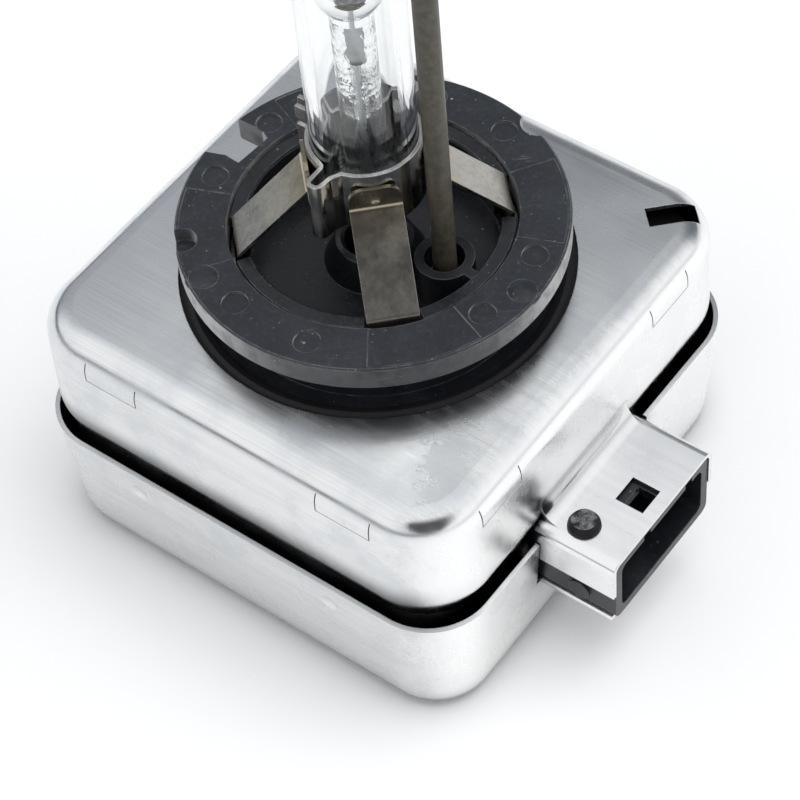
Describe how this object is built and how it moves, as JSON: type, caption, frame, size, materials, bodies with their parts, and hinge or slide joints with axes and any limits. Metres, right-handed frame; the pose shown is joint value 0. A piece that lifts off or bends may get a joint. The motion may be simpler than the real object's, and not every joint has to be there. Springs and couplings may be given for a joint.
{
  "type": "gas-discharge headlight bulb",
  "caption": "Xenon discharge headlight bulb: clear glass lamp on a notched locating ring, over a square metal-shielded igniter with a connector on one side.",
  "frame": {"origin": "on the bulb's axis at the top face of the base ring, the reference plane", "axes": "+Z along the bulb's axis to its tip, +X to the side connector"},
  "size_m": [0.0509, 0.0438, 0.0819],
  "materials": {
    "shield_aluminium": "brushed",
    "base_plastic": "matte",
    "cup_plastic": "matte",
    "housing_plastic": "matte",
    "socket_plastic": "satin",
    "seal_rubber": "matte",
    "leg_steel": "satin",
    "band_steel": "polished",
    "rivet_steel": "rough",
    "bulb_glass": "clear",
    "quartz": "clear",
    "lamp_metal": "satin",
    "salt": "rough",
    "tube_ceramic": "matte",
    "wire_metal": "satin",
    "pin_metal": "tin plated",
    "board": "satin",
    "ferrite": "matte",
    "bobbin_plastic": "matte",
    "copper_winding": "enamelled",
    "capacitor_case": "gloss",
    "gap_ceramic": "matte",
    "resistor_body": "satin",
    "contact_metal": "satin"
  },
  "bodies": {
    "root": {"upper_shield": "shield_aluminium", "lower_shield": "shield_aluminium", "base_ring": "base_plastic", "seal_ring": "seal_rubber", "lamp_cup": "cup_plastic", "clamp_band": "band_steel", "mounting_ring": "leg_steel", "outer_bulb": "bulb_glass", "arc_tube": "quartz", "salt_pellet": "salt", "return_wire": "wire_metal", "ceramic_tube": "tube_ceramic", "igniter_tub": "housing_plastic", "igniter_lid": "housing_plastic", "connector_socket": "socket_plastic", "connector_rivet": "rivet_steel", "circuit_board": "board", "transformer_core": "ferrite", "coil_bobbin": "bobbin_plastic", "secondary_winding": "copper_winding", "primary_winding": "copper_winding", "ignition_capacitor": "capacitor_case", "spark_gap": "gap_ceramic", "bleed_resistor": "resistor_body", "filter_choke": "ferrite", "hv_contact": "contact_metal", "return_contact": "contact_metal", "earth_spring": "contact_metal", "leg_front": "leg_steel", "leg_right": "leg_steel", "leg_back": "leg_steel", "leg_left": "leg_steel", "electrode_lower": "lamp_metal", "foil_lower": "lamp_metal", "lead_lower": "lamp_metal", "electrode_upper": "lamp_metal", "foil_upper": "lamp_metal", "lead_upper": "lamp_metal", "contact_pin_1": "pin_metal", "contact_pin_2": "pin_metal", "contact_pin_3": "pin_metal", "contact_pin_4": "pin_metal"}
  },
  "joints": []
}
